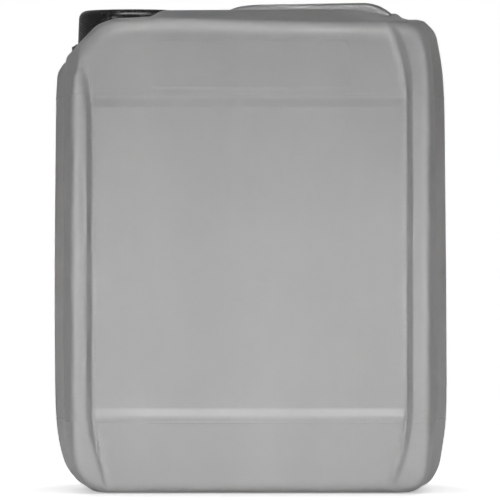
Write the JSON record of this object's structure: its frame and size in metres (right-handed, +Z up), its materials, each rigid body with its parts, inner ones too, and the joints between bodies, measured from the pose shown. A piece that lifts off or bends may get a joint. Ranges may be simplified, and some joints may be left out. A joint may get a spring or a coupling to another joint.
{
  "type": "plastic canister",
  "caption": "Rectangular blow-moulded canister with a moulded carrying handle, a stacking rim and a black screw cap with its tamper ring.",
  "frame": {"origin": "centre of the canister's base, on the surface it stands on", "axes": "+X towards the handle's root and away from the neck, +Y towards the back, +Z up along the height"},
  "size_m": [0.1924, 0.146, 0.2382],
  "materials": {
    "canister_plastic": "satin, finely grained from the mould",
    "cap_plastic": "gloss",
    "seal_foam": "matt"
  },
  "bodies": {
    "can": {"canister": "canister_plastic", "grip_bar": "canister_plastic", "grip_leg": "canister_plastic", "tamper_ring": "cap_plastic"},
    "seal": {"seal_disc": "seal_foam"},
    "cap": {"screw_cap": "cap_plastic"}
  },
  "joints": [
    {"name": "cap_lift", "type": "slide", "parent": "can", "child": "seal", "axis": [0, 0, 1], "range_m": [0, 0.02]},
    {"name": "cap_turn", "type": "hinge", "parent": "seal", "child": "cap", "pos_m": [-0.058, 0, 0.2314], "axis": [0, 0, 1], "range_deg": [0, 1440]}
  ],
  "couplings": [
    {"joint": "cap_lift", "follows": "cap_turn", "m_per_rad": 0.0007957}
  ]
}
